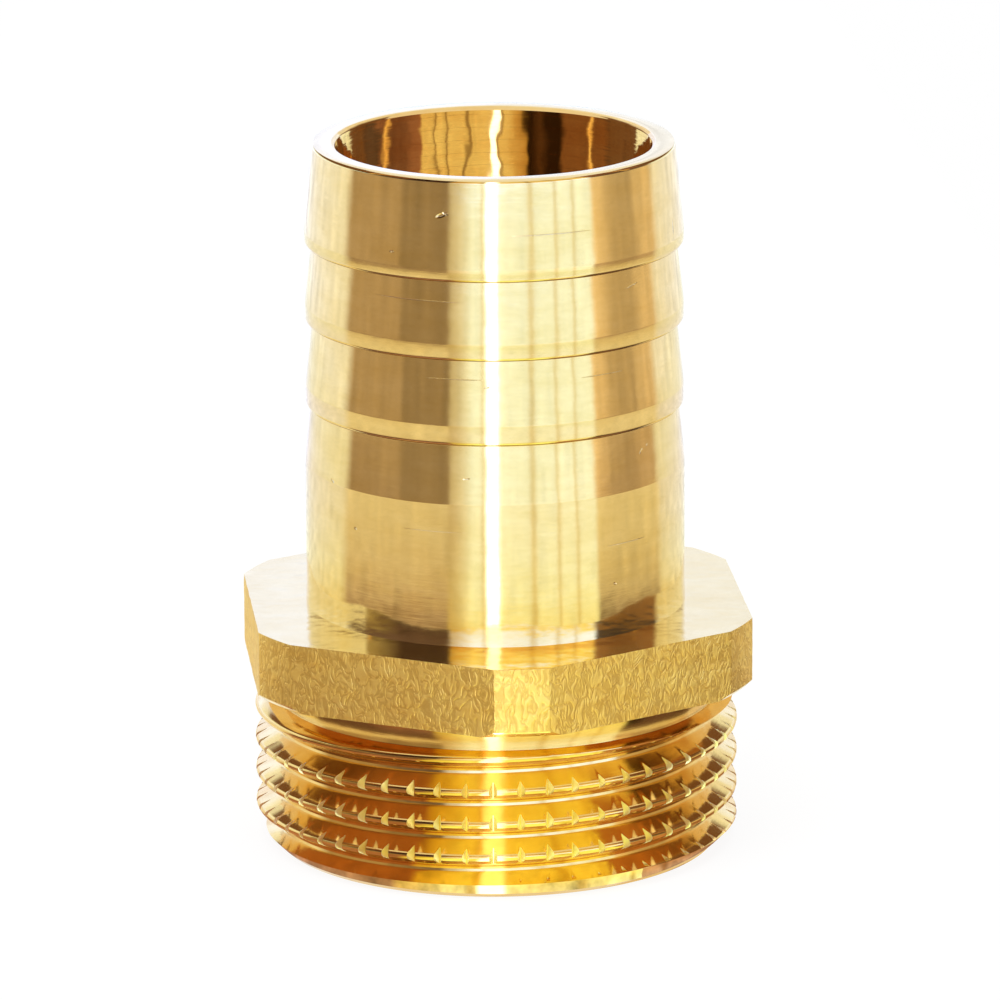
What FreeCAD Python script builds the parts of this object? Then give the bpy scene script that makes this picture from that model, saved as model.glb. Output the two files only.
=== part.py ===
import FreeCAD, Part
import os
import Sketcher

# Hose barb tail: one brass forging, turned all over except the six flats of its collar.
# It stands on its threaded end. The axis is +Z with the hose end on top, and the origin is the
# centre of the threaded end face. Two corners of the collar lie on the Y axis.

NODE = "hose_barb_tail"
doc = FreeCAD.newDocument(NODE)

# Driving sizes in millimetres, degrees and counts. Heights start at the threaded end face.
SIZES = {
    "overall_height": 49.0,
    "collar_seat_height": 12.15,
    "collar_thickness": 4.8,
    "collar_across_flats": 33.8,
    "collar_corner_dia": 37.0,
    "collar_corner_chamfer": 0.4,
    "shank_dia": 26.0,
    "shank_cone_start_dia": 25.2,
    "shank_cone_end_height": 26.8,
    "barb_dia": 25.86,
    "barb_root_dia": 24.9,
    "low_barb_step_height": 30.85,
    "low_barb_land": 1.4,
    "middle_barb_step_height": 36.7,
    "middle_barb_land": 1.2,
    "top_barb_step_height": 42.1,
    "top_barb_land": 0.9,
    "rim_dia": 24.8,
    "rim_chamfer": 0.3,
    "waterway_dia": 21.6,
    "mouth_chamfer": 0.2,
    "socket_dia": 25.0,
    "socket_depth": 13.0,
    "socket_mouth_chamfer": 0.5,
    "thread_major_dia": 33.249,
    "thread_pitch": 2.309,
    "thread_angle": 55.0,
    "thread_start_height": 3.2,
    "thread_lead": 1.4745,
    "relief_undercut": 0.046,
    "relief_width": 1.85,
    "serration_count": 55,
    "serration_width": 0.62,
    "serration_depth": 0.75,
    "serration_start_height": 1.4,
    "serration_end_height": 8.9,
    "serration_turn": 2.0,
}

sheet = doc.addObject("Spreadsheet::Sheet", "Sizes")
for row, (name, value) in enumerate(SIZES.items(), 1):
    sheet.set("A%d" % row, name)
    sheet.set("B%d" % row, str(value))
    sheet.setAlias("B%d" % row, name)
doc.recompute()

body = doc.addObject("PartDesign::Body", "HoseBarbTail")
body.Label = NODE


def value_of(expression):
    """The number that an expression on the sheet's sizes gives now."""
    result = body.evalExpression(expression)
    return getattr(result, "Value", result)


def new_sketch(name, plane_role):
    """An empty sketch on one of the body's origin planes."""
    sketch = body.newObject("Sketcher::SketchObject", name)
    plane = next(item for item in body.Origin.OriginFeatures if item.Role == plane_role)
    sketch.AttachmentSupport = [(plane, "")]
    sketch.MapMode = "FlatFace"
    return sketch


def pin(sketch, geometry, point, across, up):
    """Ties one point of a sketch to two expressions, measured from the origin."""
    for kind, axis, expression in (("DistanceX", -2, across), ("DistanceY", -1, up)):
        if expression == "0":
            sketch.addConstraint(Sketcher.Constraint("PointOnObject", geometry, point, axis))
        else:
            place = sketch.addConstraint(
                Sketcher.Constraint(kind, -1, 1, geometry, point, value_of(expression)))
            sketch.setExpression("Constraints[%d]" % place, expression)


def outline(name, plane_role, corners):
    """A closed polygon whose corners are pairs of expressions: across, up."""
    sketch = new_sketch(name, plane_role)
    spots = [FreeCAD.Vector(value_of(across), value_of(up), 0) for across, up in corners]
    for number, spot in enumerate(spots):
        sketch.addGeometry(Part.LineSegment(spot, spots[(number + 1) % len(spots)]))
    for number, (across, up) in enumerate(corners):
        following = (number + 1) % len(corners)
        sketch.addConstraint(Sketcher.Constraint("Coincident", number, 2, following, 1))
        pin(sketch, number, 1, across, up)
    return sketch


def revolve(kind, name, sketch):
    """A full turn of a sketch about the body's axis, added or cut."""
    feature = body.newObject("PartDesign::" + kind, name)
    feature.Profile = sketch
    feature.ReferenceAxis = (sketch, ["V_Axis"])
    feature.Angle = 360
    return feature


# Thread form: the basic V is cut short by a sixth of its height at the crest and at the root.
SEAT = "Sizes.collar_seat_height"
MAJOR = "Sizes.thread_major_dia / 2"
SIXTH = "Sizes.thread_pitch / (12 * tan(Sizes.thread_angle / 2 * 1 deg))"
ROOT = MAJOR + " - 4 * " + SIXTH

# Threaded end: a plain blank at the thread's major diameter, with a 45 degree lead as deep as the
# thread. It runs one pitch up into the collar, so that the last groove ends in solid metal.
blank_sketch = outline("ThreadBlankOutline", "XZ_Plane", [
    ("0", "0"),
    (MAJOR + " - Sizes.thread_lead", "0"),
    (MAJOR, "Sizes.thread_lead"),
    (MAJOR, SEAT + " + Sizes.thread_pitch"),
    ("0", SEAT + " + Sizes.thread_pitch"),
])
blank = revolve("Revolution", "ThreadBlank", blank_sketch)

# Serrations: V notches rolled across the crests so that hemp or tape grips the thread. They stop
# short of the last turn below the relief.
TIP = MAJOR + " - Sizes.serration_depth"
OUT = MAJOR + " + Sizes.serration_depth"
notch_sketch = outline("SerrationOutline", "XY_Plane", [
    (TIP, "0"),
    (OUT, "Sizes.serration_width"),
    (OUT, "-Sizes.serration_width"),
])
notch_sketch.setExpression("AttachmentOffset.Rotation.Angle", "Sizes.serration_turn * 1 deg")
notch_sketch.setExpression("AttachmentOffset.Base.z", "Sizes.serration_start_height")
notch = body.newObject("PartDesign::Pocket", "Serration")
notch.Profile = notch_sketch
notch.Reversed = True
notch.setExpression("Length", "Sizes.serration_end_height - Sizes.serration_start_height")
serrations = body.newObject("PartDesign::PolarPattern", "Serrations")
serrations.Originals = [notch]
serrations.Axis = (notch_sketch, ["N_Axis"])
serrations.Angle = 360
serrations.setExpression("Occurrences", "Sizes.serration_count")
body.Tip = serrations

# Thread: a right-hand parallel pipe thread. The groove's outline stands at the back, half a turn
# from the front corner of the collar, and the groove starts below the end face.
MOUTH = MAJOR + " + " + SIXTH
MOUTH_HALF = "Sizes.thread_pitch / 2"
ROOT_HALF = "Sizes.thread_pitch / 12"
START = "Sizes.thread_start_height - 2 * Sizes.thread_pitch"
groove_sketch = outline("ThreadOutline", "YZ_Plane", [
    (ROOT, ROOT_HALF),
    (ROOT, "-" + ROOT_HALF),
    (MOUTH, "-" + MOUTH_HALF),
    (MOUTH, MOUTH_HALF),
])
groove_sketch.setExpression("AttachmentOffset.Base.y", START)
thread = body.newObject("PartDesign::SubtractiveHelix", "Thread")
thread.Profile = groove_sketch
thread.ReferenceAxis = (groove_sketch, ["V_Axis"])
thread.Mode = "pitch-height-angle"
thread.setExpression("Pitch", "Sizes.thread_pitch")
thread.setExpression("Height", SEAT + " - (" + START + ")")

# Relief: a square groove under the collar, just below the thread's root, where the thread ends.
RELIEF = ROOT + " - Sizes.relief_undercut"
relief_sketch = outline("ReliefOutline", "XZ_Plane", [
    (RELIEF, SEAT + " - Sizes.relief_width"),
    (MAJOR + " + Sizes.thread_pitch", SEAT + " - Sizes.relief_width"),
    (MAJOR + " + Sizes.thread_pitch", SEAT),
    (RELIEF, SEAT),
])
relief = revolve("Groove", "Relief", relief_sketch)

# Collar and hose end in one turned outline: the collar's disc with its corner chamfer, the shank,
# its short cone, and three barbs. Each barb is a cone, a narrow land and a square step.
CORNER = "Sizes.collar_corner_dia / 2"
COLLAR_TOP = SEAT + " + Sizes.collar_thickness"
BARB = "Sizes.barb_dia / 2"
turned = [
    ("0", SEAT),
    (CORNER + " - Sizes.collar_corner_chamfer", SEAT),
    (CORNER, SEAT + " + Sizes.collar_corner_chamfer"),
    (CORNER, COLLAR_TOP),
    ("Sizes.shank_dia / 2", COLLAR_TOP),
    ("Sizes.shank_dia / 2", "Sizes.shank_cone_end_height"),
    ("Sizes.shank_cone_start_dia / 2", "Sizes.low_barb_step_height"),
]
for barb, cone_top in (("low", "Sizes.middle_barb_step_height"),
                       ("middle", "Sizes.top_barb_step_height"),
                       ("top", "Sizes.overall_height")):
    step = "Sizes." + barb + "_barb_step_height"
    cone_end = "Sizes.rim_dia / 2" if barb == "top" else "Sizes.barb_root_dia / 2"
    turned += [(BARB, step), (BARB, step + " + Sizes." + barb + "_barb_land"), (cone_end, cone_top)]
turned[-1:] = [
    ("Sizes.rim_dia / 2", "Sizes.overall_height - Sizes.rim_chamfer"),
    ("Sizes.rim_dia / 2 - Sizes.rim_chamfer", "Sizes.overall_height"),
    ("0", "Sizes.overall_height"),
]
turned_sketch = outline("TurnedOutline", "XZ_Plane", turned)
turned_end = revolve("Revolution", "CollarAndHoseEnd", turned_sketch)

# Flats: the as-forged hexagon, left where a turned disc is cut back to it.
HALF_FLATS = "Sizes.collar_across_flats / 2"
HALF_SIDE = HALF_FLATS + " * tan(30 deg)"
flats_sketch = outline("FlatsOutline", "XY_Plane", [
    (HALF_FLATS, HALF_SIDE),
    ("0", "2 * " + HALF_SIDE),
    ("-" + HALF_FLATS, HALF_SIDE),
    ("-" + HALF_FLATS, "-" + HALF_SIDE),
    ("0", "-2 * " + HALF_SIDE),
    (HALF_FLATS, "-" + HALF_SIDE),
])
flats_sketch.setExpression("AttachmentOffset.Base.z", SEAT)
rim_number = flats_sketch.addGeometry(Part.Circle(
    FreeCAD.Vector(0, 0, 0), FreeCAD.Vector(0, 0, 1), value_of("Sizes.collar_across_flats")))
flats_sketch.addConstraint(Sketcher.Constraint("Coincident", rim_number, 3, -1, 1))
rim_size = flats_sketch.addConstraint(
    Sketcher.Constraint("Radius", rim_number, value_of("Sizes.collar_across_flats")))
flats_sketch.setExpression("Constraints[%d]" % rim_size, "Sizes.collar_across_flats")
flats = body.newObject("PartDesign::Pocket", "Flats")
flats.Profile = flats_sketch
flats.Reversed = True
flats.setExpression("Length", "Sizes.collar_thickness")

# Bore: the waterway through the hose end, and a wider, flat-floored socket in the threaded end.
WATERWAY = "Sizes.waterway_dia / 2"
SOCKET = "Sizes.socket_dia / 2"
bore_sketch = outline("BoreOutline", "XZ_Plane", [
    ("0", "0"),
    (SOCKET + " + Sizes.socket_mouth_chamfer", "0"),
    (SOCKET, "Sizes.socket_mouth_chamfer"),
    (SOCKET, "Sizes.socket_depth"),
    (WATERWAY, "Sizes.socket_depth"),
    (WATERWAY, "Sizes.overall_height - Sizes.mouth_chamfer"),
    (WATERWAY + " + Sizes.mouth_chamfer", "Sizes.overall_height"),
    ("0", "Sizes.overall_height"),
])
bore = revolve("Groove", "Bore", bore_sketch)
body.Tip = bore
doc.recompute()

for item in doc.Objects:
    for fault in ("Invalid", "Error"):
        if fault in item.State:
            raise RuntimeError("%s is %s" % (item.Name, fault))
shape = body.Shape
if shape.isNull() or not shape.isValid() or len(shape.Solids) != 1:
    raise RuntimeError("the body is not one valid solid")

os.makedirs("parts", exist_ok=True)
shape.exportStep("parts/%s.step" % body.Label)
box = shape.BoundBox
print("%s: %.3f x %.3f x %.3f mm, %.1f mm3" % (
    NODE, box.XLength, box.YLength, box.ZLength, shape.Volume))
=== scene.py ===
import math
import random

import bpy
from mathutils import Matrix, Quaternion, Vector, noise


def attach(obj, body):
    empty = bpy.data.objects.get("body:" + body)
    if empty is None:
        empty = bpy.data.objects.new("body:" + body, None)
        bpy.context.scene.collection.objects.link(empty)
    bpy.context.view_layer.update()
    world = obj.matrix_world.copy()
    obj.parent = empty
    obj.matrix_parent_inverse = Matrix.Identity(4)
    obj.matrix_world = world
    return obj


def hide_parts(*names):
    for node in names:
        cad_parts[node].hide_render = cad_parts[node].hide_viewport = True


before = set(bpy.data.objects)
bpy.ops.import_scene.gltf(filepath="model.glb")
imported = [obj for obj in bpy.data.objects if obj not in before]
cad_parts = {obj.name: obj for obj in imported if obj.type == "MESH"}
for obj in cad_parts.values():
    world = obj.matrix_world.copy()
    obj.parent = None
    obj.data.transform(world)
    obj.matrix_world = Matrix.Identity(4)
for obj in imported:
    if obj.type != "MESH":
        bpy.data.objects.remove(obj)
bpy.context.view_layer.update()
scene = bpy.context.scene


# Camera. A long lens looks down 15 degrees on the front corner of the collar, a little from its
# left. The part stands a third of a millimetre left of the middle and leans a quarter of a degree.
CAMERA_AZIMUTH = math.radians(-5.4)
CAMERA_ELEVATION = math.radians(15.01)
CAMERA_DISTANCE = 0.5768
AIM_POINT = Vector((0, 0, 0.02374))
SIDE_STEP = 0.00033
LEAN = math.radians(-0.27)
LENS = 302.4
SENSOR = 36
NEAR_CLIP = 0.01

to_camera = Vector((
    math.sin(CAMERA_AZIMUTH) * math.cos(CAMERA_ELEVATION),
    -math.cos(CAMERA_AZIMUTH) * math.cos(CAMERA_ELEVATION),
    math.sin(CAMERA_ELEVATION),
))
to_right = Vector((math.cos(CAMERA_AZIMUTH), math.sin(CAMERA_AZIMUTH), 0))
bpy.ops.object.select_all(action="DESELECT")
bpy.ops.object.camera_add(location=AIM_POINT + to_camera * CAMERA_DISTANCE + to_right * SIDE_STEP)
camera = bpy.context.object
camera.rotation_mode = "QUATERNION"
camera.rotation_quaternion = (-to_camera).to_track_quat("-Z", "Y") @ Quaternion((0, 0, 1), LEAN)
camera.data.lens = LENS
camera.data.sensor_width = SENSOR
camera.data.clip_start = NEAR_CLIP
scene.camera = camera
scene.view_settings.view_transform = "Standard"


# Floor, world and lamp. A small white floor melts into the white world and keeps the part's soft
# shadow. The camera and mirrored rays see the world white, and other rays see it plain. A round
# lamp hangs high at the left in front, and the metal doesn't mirror it.
WHITE = (1, 1, 1, 1)
WORLD_PLAIN = 0.6
WORLD_SEEN = 1.0
PAPER = (0.9, 0.9, 0.9, 1)
PAPER_GLOW = 1.05
GLOW_SHARE = 0.86
FLOOR_FRONT = 0.060
FLOOR_BACK = 0.340
FLOOR_WIDTH = 0.120
LAMP_PLACE = (-0.1, -0.2, 0.5)
LAMP_SIZE = 0.5
LAMP_POWER = 1.6


def add_node(tree, kind, inputs=None, **settings):
    """A node with its settings, and its inputs: numbers, colours or outputs of other nodes."""
    made = tree.nodes.new(kind)
    for name, value in settings.items():
        setattr(made, name, value)
    for name, value in (inputs or {}).items():
        if isinstance(value, bpy.types.NodeSocket):
            tree.links.new(value, made.inputs[name])
        else:
            made.inputs[name].default_value = value
    return made


def calc(tree, operation, first, second=0.0, third=0.0):
    """The output of a Math node."""
    inputs = {0: first, 1: second, 2: third}
    return add_node(tree, "ShaderNodeMath", inputs, operation=operation).outputs[0]


def new_material(name):
    """An empty node material and its output node."""
    material = bpy.data.materials.new(name)
    material.use_nodes = True
    material.node_tree.nodes.clear()
    return material, material.node_tree.nodes.new("ShaderNodeOutputMaterial")


def seen_rays(tree, *kinds):
    """1 for rays of these kinds, and 0 for the rest."""
    path = add_node(tree, "ShaderNodeLightPath")
    seen = path.outputs[kinds[0]]
    for kind in kinds[1:]:
        seen = calc(tree, "MAXIMUM", seen, path.outputs[kind])
    return seen


world = bpy.data.worlds.new("white_world")
world.use_nodes = True
scene.world = world
tree = world.node_tree
tree.nodes.clear()
seen = seen_rays(tree, "Is Camera Ray", "Is Glossy Ray", "Is Transmission Ray")
level = add_node(tree, "ShaderNodeMapRange",
                 {"Value": seen, "To Min": WORLD_PLAIN, "To Max": WORLD_SEEN})
white = add_node(tree, "ShaderNodeBackground", {"Color": WHITE, "Strength": level.outputs[0]})
world_output = add_node(tree, "ShaderNodeOutputWorld")
tree.links.new(white.outputs[0], world_output.inputs["Surface"])

bpy.ops.object.select_all(action="DESELECT")
bpy.ops.mesh.primitive_plane_add(size=1)
floor = bpy.context.object
floor.name = "floor"
floor.scale = (FLOOR_WIDTH, FLOOR_FRONT + FLOOR_BACK, 1)
floor.location = (0, (FLOOR_BACK - FLOOR_FRONT) / 2, 0)
material, output = new_material("white_paper")
tree = material.node_tree
paper = add_node(tree, "ShaderNodeBsdfDiffuse", {"Color": PAPER})
glow = add_node(tree, "ShaderNodeEmission", {"Color": WHITE, "Strength": PAPER_GLOW})
seen = seen_rays(tree, "Is Camera Ray", "Is Glossy Ray")
share = calc(tree, "MULTIPLY", seen, GLOW_SHARE)
mixed = add_node(tree, "ShaderNodeMixShader", {0: share, 1: paper.outputs[0], 2: glow.outputs[0]})
tree.links.new(mixed.outputs[0], output.inputs["Surface"])
floor.data.materials.append(material)

bpy.ops.object.light_add(type="AREA", location=LAMP_PLACE)
softbox = bpy.context.object
softbox.name = "softbox"
softbox.data.shape = "DISK"
softbox.data.size = LAMP_SIZE
softbox.data.energy = LAMP_POWER
softbox.visible_glossy = False
softbox.rotation_mode = "QUATERNION"
softbox.rotation_quaternion = (-softbox.location).to_track_quat("-Z", "Y")


# Studio wall. A round wall of pale and dark cloths stands about the part and runs on over the
# floor, for the metal to mirror: it has gaps and seams, as a photographer's light tent has.
WALL_RADIUS = 0.200
WALL_TOP = 0.260
WALL_SIDES = 128
CLOTH_CLEARANCE = 0.0003
SHANK_RADIUS = 0.013
WALL_LIGHT = 4.0
SWAY_SCALE = 260.0
SWAY = 0.005
CREASES_ROUND = 60.0
CREASES_UP = 600.0
DARK_CLOTH = 0.25
PALE_CLOTH = 0.75
CREASE_ON_DARK = 2.0
CREASE_ON_PALE = 0.15
HALVES_MEET = 41


def wall_place(azimuth):
    """Where along the wall, from 0 to 1, a shank shows what it mirrors at this azimuth."""
    parallax = math.degrees(math.asin(
        SHANK_RADIUS / WALL_RADIUS * math.sin(math.radians(azimuth / 2))))
    return (azimuth - parallax) / 360 + 0.5


def wall_band(tree, place, stops):
    """The colour of the wall along one height, from azimuths and their colours."""
    ramp = add_node(tree, "ShaderNodeValToRGB", {0: place})
    elements = ramp.color_ramp.elements
    elements.remove(elements[1])
    for number, (azimuth, colour) in enumerate(stops):
        spot = wall_place(azimuth)
        if number:
            element = elements.new(spot)
        else:
            element = elements[0]
            element.position = spot
        element.color = tuple(part / WALL_LIGHT for part in colour) + (1,)
    return ramp.outputs[0]


def shade(colour, share):
    """A colour made lighter or darker."""
    return tuple(part * share for part in colour)


def tint(colour, share):
    """A colour times another colour."""
    return tuple(part * other for part, other in zip(colour, share))


STRIP = (3.0, 3.2, 4.0)


def cloths(front, left, seam, deep, back, edge, side, flank, streak, corner):
    """The stops of a band from the back, past the left, to the right end of the front."""
    joint = tint(front, seam)
    return [
        (-180, tint(back, (1.04, 1.07, 1.2))), (-166, tint(back, (1.03, 1.05, 1.16))),
        (-156, tint(edge, (1.02, 1.04, 1.12))), (-124, tint(side, (1.0, 1.0, 0.98))),
        (-104, tint(side, (0.99, 0.96, 0.83))), (-97, flank), (-87, flank),
        (-84.5, streak), (-82, corner), (-60, left), (-56, shade(left, deep)),
        (-46, shade(left, deep * 1.1)), (-40, shade(left, 0.3 + deep * 0.7)),
        (-32, shade(left, deep)), (-28.2, shade(left, deep)),
        (-27, tint(front, (0.60, 0.45, 0.28))),
        (-22, tint(front, (0.72, 0.58, 0.42))), (-17, tint(front, (0.88, 0.8, 0.7))),
        (-13, front), (-8.4, front), (-6.8, joint), (-5.2, front), (-4.6, STRIP), (1.6, STRIP),
        (3, shade(front, 1.04)), (14, front), (20, shade(front, 0.96)), (22.5, joint),
        (25, shade(front, 0.98)), (36.6, front), (38, joint), (39.6, front),
    ]


def right_cloths(front, right, seam, deep, back, edge, side, streak):
    """The stops of a band from the right end of the front, past the right, to the back."""
    rise = 1 - max(deep, 0.6)
    return [
        (42, front), (48.2, front), (49.6, tint(front, seam)), (51, front), (61.5, front),
        (63.3, shade(right, 1 + 2.5 * rise)), (70, shade(right, 1 + 1.5 * rise)),
        (76, shade(right, 1 + 0.3 * rise)), (88, right), (91.5, right), (94, streak),
        (96.5, shade(right, 1 + 0.8 * rise)), (106, shade(right, 1 + 1.6 * rise)),
        (112, shade(right, 1 + 1.4 * rise)), (118, tint(side, (0.94, 0.9, 0.8))),
        (130, tint(side, (0.97, 0.96, 0.93))), (156, edge), (166, back), (180, back),
    ]


bpy.ops.object.select_all(action="DESELECT")
bpy.ops.mesh.primitive_cylinder_add(
    vertices=WALL_SIDES, radius=WALL_RADIUS, depth=WALL_TOP - CLOTH_CLEARANCE, end_fill_type="NGON",
    location=(0, 0, (WALL_TOP + CLOTH_CLEARANCE) / 2))
wall = bpy.context.object
wall.name = "studio_wall"
bpy.ops.object.transform_apply(location=True, rotation=False, scale=False)
wall.rotation_euler.z = CAMERA_AZIMUTH
bpy.ops.object.mode_set(mode="EDIT")
bpy.ops.mesh.select_all(action="SELECT")
bpy.ops.mesh.bisect(plane_co=(0, 0, WALL_TOP - CLOTH_CLEARANCE), plane_no=(0, 0, 1),
                    clear_outer=True, use_fill=False)
bpy.ops.object.mode_set(mode="OBJECT")
material, output = new_material("studio_cloths")
material.cycles.emission_sampling = "NONE"
tree = material.node_tree
spot = add_node(tree, "ShaderNodeTexCoord").outputs["Object"]
axes = add_node(tree, "ShaderNodeSeparateXYZ", {0: spot}).outputs
forward = calc(tree, "MULTIPLY", axes["Y"], -1)
place = calc(tree, "MULTIPLY_ADD", calc(tree, "ARCTAN2", axes["X"], forward), 0.5 / math.pi, 0.5)
sway = add_node(tree, "ShaderNodeTexNoise", {"Vector": spot, "Scale": SWAY_SCALE, "Detail": 2.0})
sway = calc(tree, "SUBTRACT", sway.outputs[0], 0.5)
place = calc(tree, "MULTIPLY_ADD", sway, SWAY, place)
flat = add_node(tree, "ShaderNodeCombineXYZ", {"X": axes["X"], "Y": axes["Y"]})
away = add_node(tree, "ShaderNodeVectorMath", {0: flat.outputs[0]}, operation="LENGTH").outputs[1]
along = calc(tree, "ADD", away, axes["Z"])
bulge = calc(tree, "COSINE", calc(tree, "MULTIPLY", calc(tree, "SUBTRACT", place, 0.5), math.pi))
along = calc(tree, "MULTIPLY_ADD", calc(tree, "SUBTRACT", 1.0, bulge), SHANK_RADIUS, along)

# A band: how far along the wall it lies, as radius and height together, its colours ahead, at the
# left and at the right, how light or dark the folds of the left cloth are against it, and its
# colour at the back.
BANDS = [
    (0.015, (1.20, 1.20, 1.00), (0.60, 0.48, 0.34), (0.60, 0.48, 0.34), 0.8, (1.00, 1.00, 0.95)),
    (0.018, (1.35, 1.55, 0.50), (0.53, 0.26, 0.15), (0.41, 0.21, 0.10), 0.9, (1.05, 1.05, 0.95)),
    (0.036, (1.30, 1.50, 0.50), (0.48, 0.24, 0.14), (0.37, 0.19, 0.09), 0.9, (1.05, 1.05, 0.95)),
    (0.044, (1.20, 1.25, 0.60), (0.16, 0.09, 0.07), (0.16, 0.09, 0.07), 1.6, (1.05, 1.05, 0.90)),
    (0.063, (1.15, 1.10, 0.60), (0.17, 0.10, 0.06), (0.17, 0.10, 0.06), 1.0, (1.00, 0.85, 0.45)),
    (0.0745, (1.15, 1.10, 0.55), (0.24, 0.16, 0.09), (0.22, 0.15, 0.09), 1.1, (0.98, 0.82, 0.38)),
    (0.078, (1.15, 1.16, 0.66), (0.42, 0.29, 0.17), (0.44, 0.33, 0.19), 1.2, (0.98, 0.84, 0.42)),
    (0.082, (1.15, 1.22, 0.86), (0.62, 0.47, 0.29), (0.66, 0.55, 0.33), 1.0, (0.99, 0.95, 0.66)),
    (0.089, (1.12, 1.24, 1.05), (0.78, 0.64, 0.38), (0.74, 0.62, 0.34), 0.97, (0.98, 1.00, 0.84)),
    (0.104, (1.14, 1.26, 1.20), (0.84, 0.73, 0.46), (0.82, 0.72, 0.44), 0.95, (0.98, 1.00, 0.98)),
    (0.130, (1.14, 1.26, 1.28), (0.94, 0.84, 0.54), (0.90, 0.80, 0.52), 0.97, (0.98, 1.00, 1.10)),
    (0.178, (1.04, 1.14, 0.84), (0.80, 0.66, 0.37), (0.80, 0.66, 0.37), 0.97, (1.00, 1.04, 0.98)),
    (0.190, (1.25, 1.35, 1.20), (0.42, 0.30, 0.18), (0.42, 0.30, 0.18), 0.8, (1.02, 1.06, 1.00)),
    (0.209, (1.30, 1.45, 1.60), (0.42, 0.30, 0.18), (0.48, 0.35, 0.21), 0.8, (1.02, 1.06, 1.00)),
    (0.214, (1.14, 1.34, 1.44), (0.50, 0.37, 0.22), (0.56, 0.43, 0.26), 0.66, (1.05, 1.11, 1.22)),
    (0.242, (1.14, 1.34, 1.44), (0.52, 0.38, 0.22), (0.58, 0.45, 0.26), 0.66, (1.05, 1.11, 1.22)),
    (0.248, (1.30, 1.85, 4.00), (0.17, 0.12, 0.12), (0.05, 0.05, 0.07), 0.9, (1.15, 1.40, 1.95)),
    (0.266, (1.30, 1.85, 4.00), (0.17, 0.12, 0.12), (0.05, 0.05, 0.07), 0.9, (1.15, 1.40, 1.95)),
    (0.270, (1.35, 1.50, 0.62), (0.10, 0.07, 0.06), (0.30, 0.20, 0.12), 0.8, (1.04, 1.17, 1.50)),
    (0.280, (1.35, 1.30, 0.48), (0.09, 0.06, 0.05), (0.28, 0.17, 0.10), 0.8, (1.04, 1.17, 1.50)),
    (0.289, (1.10, 0.78, 0.32), (0.09, 0.06, 0.05), (0.25, 0.14, 0.08), 0.8, (1.04, 1.17, 1.50)),
    (0.294, (1.10, 0.80, 0.34), (0.08, 0.05, 0.04), (0.12, 0.07, 0.05), 0.8, (1.04, 1.17, 1.50)),
    (0.327, (1.10, 0.85, 0.36), (0.06, 0.04, 0.03), (0.10, 0.06, 0.04), 0.8, (1.10, 1.24, 1.70)),
    (0.336, (0.92, 0.72, 0.32), (0.24, 0.10, 0.035), (0.20, 0.09, 0.05), 0.12, (1.00, 1.00, 0.90)),
]

# The thread mirrors the bands up to THREAD_END, the collar's top those from COLLAR_START, and the
# bore those from BORE_START.
THREAD_END = 0.040
COLLAR_START = 0.268
BORE_START = 0.292
CLOTH_SEAM = (0.72, 0.54, 0.28)
BORE_SEAM = (0.16, 0.09, 0.05)
BORE_SIDE = (0.20, 0.10, 0.05)
BORE_STREAK = (1.30, 0.85, 0.30)
COLLAR_GOLD = (1.08, 1.20, 1.15)
COLLAR_BROWN = (0.50, 0.46, 0.28)
whole = None
for number, (start, ahead, left, right, deep, back) in enumerate(BANDS):
    seam, edge, side, flank, streak, corner = CLOTH_SEAM, back, back, left, left, left
    right_streak = right
    if start > BORE_START:
        seam, edge, side, streak = BORE_SEAM, BORE_SIDE, BORE_SIDE, BORE_STREAK
        right_streak = BORE_STREAK
    elif start > COLLAR_START:
        edge, side, flank = COLLAR_GOLD, COLLAR_GOLD, COLLAR_GOLD
        streak, corner = COLLAR_BROWN, COLLAR_BROWN
    right_end = shade(right, 1.5) if start < THREAD_END else ahead
    front = wall_band(tree, place, cloths(ahead, left, seam, deep, back, edge, side, flank,
                                          streak, corner))
    behind = wall_band(tree, place, right_cloths(right_end, right, seam, deep, back, edge, side,
                                                 right_streak))
    turned_right = calc(tree, "GREATER_THAN", place, wall_place(HALVES_MEET))
    colour = add_node(tree, "ShaderNodeMix", {0: turned_right, 6: front, 7: behind},
                      data_type="RGBA").outputs[2]
    if whole is None:
        whole = colour
    else:
        share = add_node(tree, "ShaderNodeMapRange",
                         {"Value": along, "From Min": BANDS[number - 1][0], "From Max": start})
        whole = add_node(tree, "ShaderNodeMix", {0: share.outputs[0], 6: whole, 7: colour},
                         data_type="RGBA").outputs[2]
creases = add_node(tree, "ShaderNodeCombineXYZ", {
    "X": calc(tree, "MULTIPLY", place, CREASES_ROUND),
    "Y": calc(tree, "MULTIPLY", along, CREASES_UP),
})
creases = add_node(tree, "ShaderNodeTexNoise",
                   {"Vector": creases.outputs[0], "Scale": 1.0, "Detail": 3.0, "Roughness": 0.65})
brightness = add_node(tree, "ShaderNodeRGBToBW", {0: whole}).outputs[0]
shadowed = add_node(tree, "ShaderNodeMapRange",
                    {"Value": brightness, "From Min": DARK_CLOTH, "From Max": PALE_CLOTH,
                     "To Min": CREASE_ON_DARK, "To Max": CREASE_ON_PALE}).outputs[0]
crease = calc(tree, "MULTIPLY_ADD", calc(tree, "SUBTRACT", creases.outputs[0], 0.5), shadowed, 1.0)
whole = add_node(tree, "ShaderNodeVectorMath", {0: whole, "Scale": crease},
                 operation="SCALE").outputs[0]
cloth = add_node(tree, "ShaderNodeEmission", {"Color": whole, "Strength": WALL_LIGHT})
tree.links.new(cloth.outputs[0], output.inputs["Surface"])
wall.data.materials.append(material)
wall.visible_camera = False
wall.visible_diffuse = False
wall.visible_shadow = False
wall.visible_transmission = False


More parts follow.
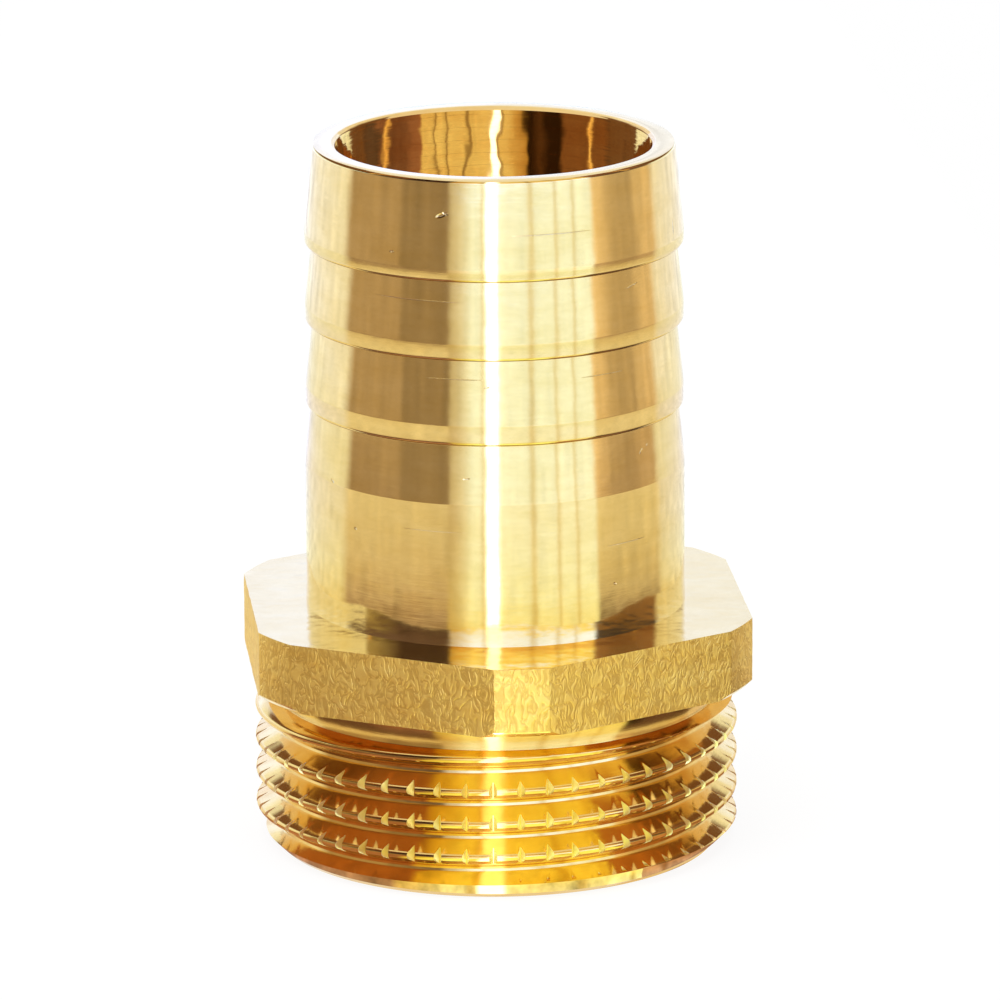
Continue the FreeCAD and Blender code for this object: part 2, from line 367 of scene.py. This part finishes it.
# Hose barb tail. One brass forging, turned in a lathe all over but for the six flats of its
# collar: a circle is extruded along the outline, up the outside and back down through the bore.
MM = 0.001
SEGMENTS = 440
TOP = 49.0
SEAT = 12.15
COLLAR_TOP = 16.95
COLLAR_RADIUS = 18.5
COLLAR_CHAMFER = 0.4
MAJOR_RADIUS = 16.6245
LEAD = 1.4745
RELIEF_RADIUS = 15.1
RELIEF_FOOT = 10.3
SHANK = 13.0
SHANK_FOOT_RADIUS = 13.052
FOOT_RING_TOP = 18.15
SHANK_CONE_FOOT = 26.8
BARB_RADIUS = 12.93
RIM_RADIUS = 12.387
RIM_CHAMFER_IN = 0.087
RIM_CHAMFER_DOWN = 0.16
BORE_RADIUS = 10.8
BORE_MOUTH = 0.2
SOCKET_RADIUS = 12.5
SOCKET_FLOOR = 13.0
SOCKET_MOUTH = 0.5
EDGE_BREAK = 0.05
EDGE_BREAK_STEPS = 2
BARB_EDGE = 0.26
BARB_EDGE_STEPS = 4
SHARP_EDGE = math.radians(3)
MERGE_BELOW = 0.0001
NEAR = 0.01

# A barb: the radius under its back, the height of its back, and how high its land is.
BARBS = [(12.6, 30.85, 1.4), (12.45, 36.7, 1.2), (12.45, 42.1, 0.9)]

outline = [
    (SOCKET_RADIUS + SOCKET_MOUTH, 0), (MAJOR_RADIUS - LEAD, 0), (MAJOR_RADIUS, LEAD),
    (MAJOR_RADIUS, RELIEF_FOOT), (RELIEF_RADIUS, RELIEF_FOOT), (RELIEF_RADIUS, SEAT),
    (COLLAR_RADIUS - COLLAR_CHAMFER, SEAT), (COLLAR_RADIUS, SEAT + COLLAR_CHAMFER),
    (COLLAR_RADIUS, COLLAR_TOP), (SHANK_FOOT_RADIUS, COLLAR_TOP), (SHANK, FOOT_RING_TOP),
    (SHANK, SHANK_CONE_FOOT),
]
for root, back, land in BARBS:
    outline += [(root, back), (BARB_RADIUS, back), (BARB_RADIUS, back + land)]
outline += [
    (RIM_RADIUS, TOP - RIM_CHAMFER_DOWN), (RIM_RADIUS - RIM_CHAMFER_IN, TOP),
    (BORE_RADIUS + BORE_MOUTH, TOP), (BORE_RADIUS, TOP - BORE_MOUTH),
    (BORE_RADIUS, SOCKET_FLOOR), (SOCKET_RADIUS, SOCKET_FLOOR),
    (SOCKET_RADIUS, SOCKET_MOUTH), (SOCKET_RADIUS + SOCKET_MOUTH, 0),
]

bpy.ops.object.select_all(action="DESELECT")
radius, height = outline[0]
bpy.ops.mesh.primitive_circle_add(vertices=SEGMENTS, radius=radius * MM,
                                  location=(0, 0, height * MM))
tail = bpy.context.object
tail.name = "brass_hose_tail"
bpy.ops.object.transform_apply(location=True, rotation=False, scale=False)
bpy.ops.object.mode_set(mode="EDIT")
bpy.ops.mesh.select_all(action="SELECT")
for next_radius, next_height in outline[1:]:
    bpy.ops.mesh.extrude_region_move(
        TRANSFORM_OT_translate={"value": (0, 0, (next_height - height) * MM)})
    growth = next_radius / radius
    bpy.ops.transform.resize(value=(growth, growth, 1), center_override=(0, 0, next_height * MM))
    radius, height = next_radius, next_height
bpy.ops.mesh.select_all(action="SELECT")
bpy.ops.mesh.remove_doubles(threshold=MERGE_BELOW * MM)
bpy.ops.mesh.normals_make_consistent(inside=False)
bpy.ops.mesh.select_all(action="DESELECT")
bpy.ops.mesh.select_mode(type="EDGE")
bpy.ops.object.mode_set(mode="OBJECT")
for edge in tail.data.edges:
    ends = [tail.data.vertices[number].co / MM for number in edge.vertices]
    edge.select = all(abs(end.xy.length - BARB_RADIUS) < NEAR
                      and min(abs(end.z - back) for _, back, _ in BARBS) < NEAR for end in ends)
bpy.ops.object.mode_set(mode="EDIT")
bpy.ops.mesh.bevel(offset=BARB_EDGE * MM, segments=BARB_EDGE_STEPS, affect="EDGES")
bpy.ops.mesh.select_all(action="DESELECT")
bpy.ops.mesh.edges_select_sharp(sharpness=SHARP_EDGE)
bpy.ops.object.mode_set(mode="OBJECT")

# The corner between the collar and the foot of the shank stays sharp.
foot = Vector((SHANK_FOOT_RADIUS, COLLAR_TOP)) * MM
for edge in tail.data.edges:
    end = tail.data.vertices[edge.vertices[0]].co
    place = Vector((end.xy.length, end.z))
    if edge.select and (place - foot).length < NEAR * MM:
        edge.select = False
bpy.ops.object.mode_set(mode="EDIT")
bpy.ops.mesh.bevel(offset=EDGE_BREAK * MM, segments=EDGE_BREAK_STEPS, affect="EDGES")
bpy.ops.object.mode_set(mode="OBJECT")


def cut(piece, cutter):
    """Takes a cutter out of a piece, and deletes the cutter."""
    bpy.ops.object.select_all(action="DESELECT")
    piece.select_set(True)
    bpy.context.view_layer.objects.active = piece
    modifier = piece.modifiers.new("cut", "BOOLEAN")
    modifier.operation = "DIFFERENCE"
    modifier.solver = "MANIFOLD"
    modifier.object = cutter
    bpy.ops.object.modifier_apply(modifier=modifier.name)
    bpy.data.objects.remove(cutter)


# Flats of the collar, as the forging die left them: six slabs with a rough inner face cut the
# turned disc back to a hexagon.
FLAT_DEPTH = 16.9
SLAB_WIDTH = 16.0
SLAB_HEIGHT = 5.2
SLAB_THICKNESS = 1.7
SLAB_ROWS = 26
SLAB_COLUMNS = 72
FORGED_RELIEF = 0.06
FORGED_SWELL = 1.3
FINE_SWELLS = 2.6
FINE_SHARE = 0.6
SIDES = 6
SIDE_TURN = 60

bpy.ops.mesh.primitive_grid_add(x_subdivisions=SLAB_ROWS, y_subdivisions=SLAB_COLUMNS, size=MM,
                                location=(FLAT_DEPTH * MM, 0, (SEAT + COLLAR_TOP) / 2 * MM),
                                rotation=(0, -math.pi / 2, 0))
slabs = bpy.context.object
slabs.scale = (SLAB_HEIGHT, SLAB_WIDTH, 1)
bpy.ops.object.transform_apply(location=True, rotation=True, scale=True)
bpy.ops.object.mode_set(mode="EDIT")
bpy.ops.mesh.select_all(action="SELECT")
bpy.ops.mesh.extrude_region_move(TRANSFORM_OT_translate={"value": (SLAB_THICKNESS * MM, 0, 0)})
bpy.ops.mesh.select_all(action="SELECT")
bpy.ops.mesh.normals_make_consistent(inside=False)
for side in range(SIDES - 1):
    bpy.ops.mesh.duplicate()
    bpy.ops.transform.rotate(value=math.radians(SIDE_TURN), orient_axis="Z",
                             center_override=(0, 0, 0))
bpy.ops.object.mode_set(mode="OBJECT")
for vertex in slabs.data.vertices:
    side = round(math.degrees(math.atan2(vertex.co.y, vertex.co.x)) / SIDE_TURN)
    turn = math.radians(side * SIDE_TURN)
    outward = Vector((math.cos(turn), math.sin(turn), 0))
    if vertex.co.dot(outward) < (FLAT_DEPTH + SLAB_THICKNESS / 2) * MM:
        spot = vertex.co / (FORGED_SWELL * MM)
        swell = noise.noise(spot) + FINE_SHARE * noise.noise(spot * FINE_SWELLS)
        vertex.co -= outward * FORGED_RELIEF * MM * min(max(0.5 + 0.5 * swell, 0), 1)
cut(tail, slabs)


# Serrations: V notches across the crests of the thread, so that hemp or tape grips it. They are
# rolled in, so they differ a little in depth and spacing.
NOTCH_COUNT = 55
NOTCH_FOOT = 1.4
NOTCH_HEAD = 8.9
NOTCH_FLOOR = 15.95
NOTCH_OUT = 17.4
NOTCH_FLOOR_WIDTH = 0.06
NOTCH_OUTER_WIDTH = 1.1
FIRST_NOTCH = math.radians(0.36)
NOTCH_SEED = 11
NOTCH_DEPTHS = (0.994, 1.006)
NOTCH_SHIFT = 0.25

bpy.ops.mesh.primitive_cube_add(
    size=MM, location=(0, -(NOTCH_FLOOR + NOTCH_OUT) / 2 * MM, (NOTCH_HEAD + NOTCH_FOOT) / 2 * MM))
notches = bpy.context.object
notches.scale = (NOTCH_OUTER_WIDTH, NOTCH_OUT - NOTCH_FLOOR, NOTCH_HEAD - NOTCH_FOOT)
bpy.ops.object.transform_apply(location=True, rotation=False, scale=True)
notches.rotation_euler.z = FIRST_NOTCH
for vertex in notches.data.vertices:
    if vertex.co.y > -(NOTCH_FLOOR + NOTCH_OUT) / 2 * MM:
        vertex.co.x *= NOTCH_FLOOR_WIDTH / NOTCH_OUTER_WIDTH
bpy.ops.object.transform_apply(location=False, rotation=True, scale=False)
bpy.ops.object.mode_set(mode="EDIT")
bpy.ops.mesh.select_all(action="SELECT")
dice = random.Random(NOTCH_SEED)
deep, off = 1.0, 0.0
for number in range(NOTCH_COUNT - 1):
    next_deep = dice.uniform(*NOTCH_DEPTHS)
    next_off = dice.uniform(-NOTCH_SHIFT, NOTCH_SHIFT)
    bpy.ops.mesh.duplicate()
    bpy.ops.transform.rotate(value=math.radians(360 / NOTCH_COUNT + next_off - off),
                             orient_axis="Z", center_override=(0, 0, 0))
    bpy.ops.transform.resize(value=(next_deep / deep, next_deep / deep, 1),
                             center_override=(0, 0, 0))
    deep, off = next_deep, next_off
bpy.ops.object.mode_set(mode="OBJECT")
cut(tail, notches)


# Thread: a right-hand parallel pipe thread, 11 turns to the inch, round at its crest and root.
# The groove's outline is swept up a helix from below the end face, and cut off level in the
# relief under the collar.
PITCH = 2.309
MINOR_RADIUS = 15.146
ROUNDING = 0.1373 * PITCH
FLANK_NORMAL = 62.5
ROOT_SLOPES = (31, FLANK_NORMAL)
CREST_SLOPES = (FLANK_NORMAL, 40, 20, 7)
THREAD_START = 3.2
GROOVE_START = THREAD_START - 2 * PITCH
GROOVE_TOP = 12.0
GROOVE_OUT = 17.3
GROOVE_TURNS = 6
GROOVE_STEPS = 400
LID_SIDES = 64

half_groove = [(MINOR_RADIUS, 0)]
for slope in ROOT_SLOPES:
    half_groove.append((MINOR_RADIUS + ROUNDING * (1 - math.cos(math.radians(slope))),
                        ROUNDING * math.sin(math.radians(slope))))
for slope in CREST_SLOPES:
    half_groove.append((MAJOR_RADIUS - ROUNDING * (1 - math.cos(math.radians(slope))),
                        PITCH / 2 - ROUNDING * math.sin(math.radians(slope))))
half_groove.append((GROOVE_OUT, half_groove[-1][1]))
groove_outline = half_groove + [(out, -up) for out, up in reversed(half_groove[1:])]

bpy.ops.mesh.primitive_circle_add(vertices=len(groove_outline), radius=MM)
groove = bpy.context.object
for vertex, (out, up) in zip(groove.data.vertices, groove_outline):
    vertex.co = Vector((0, out, GROOVE_START + up)) * MM
screw = groove.modifiers.new("screw", "SCREW")
screw.axis = "Z"
screw.screw_offset = PITCH * MM
screw.iterations = GROOVE_TURNS
screw.steps = GROOVE_STEPS
screw.render_steps = GROOVE_STEPS
bpy.ops.object.modifier_apply(modifier=screw.name)
bpy.ops.object.mode_set(mode="EDIT")
bpy.ops.mesh.select_mode(type="EDGE")
bpy.ops.mesh.select_all(action="DESELECT")
bpy.ops.mesh.select_non_manifold()
bpy.ops.mesh.fill()
bpy.ops.mesh.select_all(action="SELECT")
bpy.ops.mesh.normals_make_consistent(inside=False)
bpy.ops.object.mode_set(mode="OBJECT")
bpy.ops.mesh.primitive_cylinder_add(
    vertices=LID_SIDES, radius=2 * MAJOR_RADIUS * MM, depth=2 * PITCH * MM,
    location=(0, 0, (GROOVE_TOP + PITCH) * MM))
lid = bpy.context.object
bpy.ops.object.transform_apply(location=True, rotation=False, scale=False)
cut(groove, lid)
cut(tail, groove)


# Brass as turned: bright, with the fine rings of the lathe tool, and a few warm stains. The other
# finishes have rings of their own spacing, length and depth.
RING_SKEW = 1.37
STAIN_STRETCH = (1, 1, 3.5)
STAIN_SCALE = 230.0
STAIN_FROM = 0.35
STAIN_TO = 0.7
WAVE_SCALE = 420.0


def new_group(name, inputs, outputs):
    """A shader node group with named number inputs and outputs."""
    group = bpy.data.node_groups.new(name, "ShaderNodeTree")
    for label, value in inputs.items():
        socket = group.interface.new_socket(label, in_out="INPUT", socket_type="NodeSocketFloat")
        socket.default_value = value
    for label in outputs:
        group.interface.new_socket(label, in_out="OUTPUT", socket_type="NodeSocketFloat")
    return group, add_node(group, "NodeGroupInput"), add_node(group, "NodeGroupOutput")


lathe_rings, group_in, group_out = new_group(
    "lathe_rings", {"Spacing": 0.0002, "Length": 30.0}, ["Height", "Stain", "Wave"])
spot = add_node(lathe_rings, "ShaderNodeTexCoord").outputs["Object"]
axes = add_node(lathe_rings, "ShaderNodeSeparateXYZ", {0: spot}).outputs
flat = add_node(lathe_rings, "ShaderNodeCombineXYZ", {"X": axes["X"], "Y": axes["Y"]})
away = add_node(lathe_rings, "ShaderNodeVectorMath", {0: flat.outputs[0]},
                operation="LENGTH").outputs[1]
along = calc(lathe_rings, "MULTIPLY_ADD", away, RING_SKEW, axes["Z"])
short = calc(lathe_rings, "DIVIDE", 1.0, group_in.outputs["Length"])
stretched = add_node(lathe_rings, "ShaderNodeCombineXYZ", {
    "X": calc(lathe_rings, "MULTIPLY", axes["X"], short),
    "Y": calc(lathe_rings, "MULTIPLY", axes["Y"], short),
    "Z": along,
})
fine = calc(lathe_rings, "DIVIDE", 1.0, group_in.outputs["Spacing"])
scaled = add_node(lathe_rings, "ShaderNodeVectorMath", {0: stretched.outputs[0], "Scale": fine},
                  operation="SCALE")
rings = add_node(lathe_rings, "ShaderNodeTexNoise",
                 {"Vector": scaled.outputs[0], "Scale": 1.0, "Detail": 2.0, "Roughness": 0.6})
level = add_node(lathe_rings, "ShaderNodeMapping", {"Vector": spot, "Scale": STAIN_STRETCH})
stain = add_node(lathe_rings, "ShaderNodeTexNoise",
                 {"Vector": level.outputs[0], "Scale": STAIN_SCALE, "Detail": 5.0,
                  "Roughness": 0.68})
lathe_rings.links.new(rings.outputs[0], group_out.inputs["Height"])
waves = add_node(lathe_rings, "ShaderNodeTexNoise",
                 {"Vector": spot, "Scale": WAVE_SCALE, "Detail": 2.0, "Roughness": 0.55})
lathe_rings.links.new(stain.outputs[0], group_out.inputs["Stain"])
lathe_rings.links.new(waves.outputs[0], group_out.inputs["Wave"])


# Knocks and scratches of the turned skin: shallow dents with a paler, scraped tone. Each is told
# by the azimuth, height and radius of its place, its length and width, and how far it leans.
KNOCK_REACH = 1.2
DENT_DEPTH = 0.03
SCRAPE_SHARE = 0.5
SCRAPED = (1.0, 0.93, 0.75, 1)
KNOCKS = [
    (-21.6, 46.6, 12.6, 0.8, 0.32, 20), (-20.2, 46.75, 12.58, 0.5, 0.22, -15),
    (-37.5, 43.9, 12.85, 0.4, 0.16, 0), (41.6, 40.9, 12.58, 1.4, 0.1, 10),
    (65.0, 44.0, 12.83, 0.16, 1.2, -6), (-63.3, 27.0, 12.98, 0.45, 0.2, -30),
    (45.3, 29.3, 12.75, 0.5, 0.16, 50), (48.5, 29.6, 12.72, 0.2, 0.12, 50),
    (-52.0, 24.2, 13.0, 0.3, 0.2, 0), (33.0, 20.6, 13.0, 0.3, 0.2, 0),
    (-14.0, 28.6, 12.82, 0.5, 0.12, 8), (-8.0, 34.9, 12.64, 0.5, 0.1, 0),
    (-29, 40.7, 12.61, 7.4, 0.07, 0), (-18, 35.4, 12.59, 4.0, 0.06, 0),
    (12, 45.3, 12.72, 6.1, 0.06, 0), (-24, 24.9, 13.0, 4.5, 0.06, 0),
    (38, 23.3, 13.0, 3.6, 0.06, 0), (30, 35.2, 12.61, 3.5, 0.06, 0),
]
knocks, _, group_out = new_group("knocks", {}, ["Depth"])
spot = add_node(knocks, "ShaderNodeTexCoord").outputs["Object"]
deepest = 0.0
for azimuth, height, radius, long, wide, lean in KNOCKS:
    turn = math.radians(azimuth)
    near = add_node(knocks, "ShaderNodeMapping", {
        "Vector": spot,
        "Location": (math.sin(turn) * radius * MM, -math.cos(turn) * radius * MM, height * MM),
        "Rotation": (0, -math.radians(lean), turn),
        "Scale": (long / 2 * MM, KNOCK_REACH * MM, wide / 2 * MM),
    }, vector_type="TEXTURE")
    near = add_node(knocks, "ShaderNodeVectorMath", {0: near.outputs[0]}, operation="LENGTH")
    dent = add_node(knocks, "ShaderNodeMapRange", {
        "Value": near.outputs[1], "From Min": 0.5, "From Max": 1.0, "To Min": 1.0, "To Max": 0.0})
    deepest = calc(knocks, "MAXIMUM", dent.outputs[0], deepest)
knocks.links.new(deepest, group_out.inputs["Depth"])


def brass_finish(name, colour, stained, roughness, spacing, length, depth, wave):
    """A brass with lathe rings of this spacing, length and depth, and a slow wave."""
    material, output = new_material(name)
    tree = material.node_tree
    marks = add_node(tree, "ShaderNodeGroup", node_tree=lathe_rings)
    marks.inputs["Spacing"].default_value = spacing * MM
    marks.inputs["Length"].default_value = length
    tone = add_node(tree, "ShaderNodeMapRange",
                    {"Value": marks.outputs["Stain"], "From Min": STAIN_FROM,
                     "From Max": STAIN_TO})
    mixed = add_node(tree, "ShaderNodeMix", {0: tone.outputs[0], 6: colour, 7: stained},
                     data_type="RGBA")
    swell = add_node(tree, "ShaderNodeBump",
                     {"Strength": 1.0, "Distance": wave * MM, "Height": marks.outputs["Wave"]})
    bump = add_node(tree, "ShaderNodeBump",
                    {"Strength": 1.0, "Distance": depth * MM, "Height": marks.outputs["Height"],
                     "Normal": swell.outputs[0]})
    brass = add_node(tree, "ShaderNodeBsdfPrincipled",
                     {"Base Color": mixed.outputs[2], "Metallic": 1.0,
                      "Roughness": roughness, "Normal": bump.outputs[0]})
    tree.links.new(brass.outputs[0], output.inputs["Surface"])
    return material, brass, bump


turned, brass, bump = brass_finish("turned_brass", (0.89, 0.70, 0.37, 1), (0.83, 0.63, 0.29, 1),
                                   roughness=0.09, spacing=0.16, length=14, depth=0.0012,
                                   wave=0.012)
tree = turned.node_tree
depth = add_node(tree, "ShaderNodeGroup", node_tree=knocks).outputs["Depth"]
dent = add_node(tree, "ShaderNodeBump",
                {"Strength": 1.0, "Distance": DENT_DEPTH * MM, "Height": depth,
                 "Normal": bump.outputs[0]}, invert=True)
tree.links.new(dent.outputs[0], brass.inputs["Normal"])
skin = brass.inputs["Base Color"].links[0].from_socket
scraped = add_node(tree, "ShaderNodeMix",
                   {0: calc(tree, "MULTIPLY", depth, SCRAPE_SHARE), 6: skin, 7: SCRAPED},
                   data_type="RGBA")
tree.links.new(scraped.outputs[2], brass.inputs["Base Color"])


# Brass as faced, threaded and sheared, and a painted shade: the top of the collar, the thread, the
# torn sides of the notches, near-white as a painted highlight, and a dark brown painted under the
# back of each barb as a painted shade, for the dark line below each barb.
faced, _, _ = brass_finish("faced_brass", (0.88, 0.69, 0.35, 1), (0.83, 0.62, 0.27, 1),
                           roughness=0.1, spacing=0.16, length=14, depth=0.001, wave=0.05)
threaded, _, _ = brass_finish("threaded_brass", (0.87, 0.61, 0.23, 1), (0.81, 0.52, 0.16, 1),
                              roughness=0.12, spacing=0.12, length=20, depth=0.002, wave=0.02)
# The torn sides of the notches: a rough sheared finish, with a near-white colour that is a painted
# highlight.
sheared_painted_highlight, _, _ = brass_finish("sheared_painted_highlight_brass", (0.99, 0.93, 0.68, 1), (0.95, 0.8, 0.45, 1),
                             roughness=0.3, spacing=0.3, length=3, depth=0.03, wave=0.05)
# Painted shade: a dark brown on the undersides of the barbs' backs, for the dark line below each
# barb.
painted_step_shade, _, _ = brass_finish("painted_step_shade_brass", (0.30, 0.15, 0.05, 1), (0.62, 0.38, 0.12, 1),
                           roughness=0.3, spacing=0.3, length=3, depth=0.01, wave=0.05)


# Brass as bored: the feed marks of the boring bar are a fine saw-tooth, each tooth tilted up to
# the mouth, so the wall mirrors the studio in golden and dark bands.
FEED = 0.9
FEED_TILT = math.tan(math.radians(24))
CHATTER_SCALE = 260.0
CHATTER = 0.25

bored, brass, bump = brass_finish("bored_brass", (0.88, 0.64, 0.27, 1), (0.8, 0.5, 0.17, 1),
                                  roughness=0.06, spacing=0.35, length=30, depth=0.006,
                                  wave=0.01)
tree = bored.node_tree
spot = add_node(tree, "ShaderNodeTexCoord").outputs["Object"]
chatter = add_node(tree, "ShaderNodeTexNoise", {"Vector": spot, "Scale": CHATTER_SCALE})
height = add_node(tree, "ShaderNodeSeparateXYZ", {0: spot}).outputs["Z"]
height = calc(tree, "MULTIPLY_ADD", chatter.outputs[0], CHATTER * MM, height)
tooth = calc(tree, "FRACT", calc(tree, "DIVIDE", height, FEED * MM))
teeth = add_node(tree, "ShaderNodeBump",
                 {"Strength": 1.0, "Distance": FEED * FEED_TILT * MM,
                  "Height": calc(tree, "SUBTRACT", 1.0, tooth), "Normal": bump.outputs[0]})
tree.links.new(teeth.outputs[0], brass.inputs["Normal"])


# Brass as forged: a dull, wormy skin on the flats and corners of the collar, with curled furrows
# that are a little deeper and darker.
WORM_SCALE = (1600, 1600, 850)
WORM_BEND = 1.2
WORM_WIDTH = 0.16
WORM_DEPTH = 0.02
WORM_DULLNESS = 0.42
WORM_TINT = (0.55, 0.42, 0.25, 1)
FORGED_METALLIC = 0.75

forged, brass, bump = brass_finish("forged_brass", (0.99, 0.71, 0.21, 1), (0.93, 0.6, 0.14, 1),
                                   roughness=0.4, spacing=0.2, length=3, depth=0.008,
                                   wave=0.1)
tree = forged.node_tree
spot = add_node(tree, "ShaderNodeTexCoord").outputs["Object"]
squeezed = add_node(tree, "ShaderNodeMapping", {"Vector": spot, "Scale": WORM_SCALE})
curl = add_node(tree, "ShaderNodeTexNoise",
                {"Vector": squeezed.outputs[0], "Scale": 1.0, "Detail": 2.0,
                 "Distortion": WORM_BEND})
worms = calc(tree, "ABSOLUTE", calc(tree, "SUBTRACT", curl.outputs[0], 0.5))
worms = add_node(tree, "ShaderNodeMapRange", {"Value": worms, "From Max": WORM_WIDTH},
                 interpolation_type="SMOOTHSTEP").outputs[0]
worm_bump = add_node(tree, "ShaderNodeBump",
                     {"Strength": 1.0, "Distance": WORM_DEPTH * MM, "Height": worms,
                      "Normal": bump.outputs[0]})
tree.links.new(worm_bump.outputs[0], brass.inputs["Normal"])
skin = brass.inputs["Base Color"].links[0].from_socket
dulled = add_node(tree, "ShaderNodeMix", {0: 1.0, 6: skin, 7: WORM_TINT},
                  data_type="RGBA", blend_type="MULTIPLY")
lines = add_node(tree, "ShaderNodeMapRange", {"Value": worms, "From Max": 0.5,
                                              "To Min": WORM_DULLNESS, "To Max": 0.0})
coloured = add_node(tree, "ShaderNodeMix", {0: lines.outputs[0], 6: skin, 7: dulled.outputs[2]},
                    data_type="RGBA")
tree.links.new(coloured.outputs[2], brass.inputs["Base Color"])
brass.inputs["Metallic"].default_value = FORGED_METALLIC


# Finishes. Each face takes the finish of the tool that made it, told by its place and its normal,
# but the undersides of the barbs' backs take a dark brown that is a painted shade.
# The shading is smooth between faces, and follows the larger ones.
SLACK = 0.05
THREAD_FLOOR = RELIEF_RADIUS - 0.2
COLLAR_WALL = 16
COLLAR_FACE_FROM = 16.5
COLLAR_FACE_RADIUS = COLLAR_RADIUS - 0.1
BARBS_FROM = 30
FACING = 0.5
SIDEWAYS = 0.6
LEVEL = 0.9
SMOOTH_BELOW = math.radians(30)
LARGE_FACES = 100
SAME_AREA = 2e-8
FINISHES = [turned, bored, faced, threaded, sheared_painted_highlight, forged, painted_step_shade]
tail.data.materials.clear()
for material in FINISHES:
    tail.data.materials.append(material)
for face in tail.data.polygons:
    centre = face.center / MM
    radius = math.hypot(centre.x, centre.y)
    outward = (face.normal.x * centre.x + face.normal.y * centre.y) / radius
    sideways = (face.normal.y * centre.x - face.normal.x * centre.y) / radius
    finish = turned
    if outward < -FACING:
        finish = bored
    elif centre.z < SEAT - SLACK and radius > THREAD_FLOOR:
        # The torn sides of the notches take the near-white brass, a painted highlight on a rough
        # finish.
        finish = sheared_painted_highlight if abs(sideways) > SIDEWAYS else threaded
    elif (SEAT - SLACK < centre.z < COLLAR_TOP + SLACK and radius > COLLAR_WALL
          and abs(face.normal.z) < FACING):
        finish = forged
    elif (COLLAR_FACE_FROM < centre.z < COLLAR_TOP + SLACK and radius < COLLAR_FACE_RADIUS
          and face.normal.z > LEVEL):
        finish = faced
    # The undersides of the barbs' backs take the dark brown, a painted shade.
    elif face.normal.z < -FACING and centre.z > BARBS_FROM and radius < BARB_RADIUS:
        finish = painted_step_shade
    face.material_index = FINISHES.index(finish)
bpy.ops.object.shade_smooth_by_angle(angle=SMOOTH_BELOW)
weighting = tail.modifiers.new("weighting", "WEIGHTED_NORMAL")
weighting.weight = LARGE_FACES
weighting.thresh = SAME_AREA
weighting.keep_sharp = True
bpy.ops.object.modifier_apply(modifier=weighting.name)

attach(tail, "root")
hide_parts("hose_barb_tail")
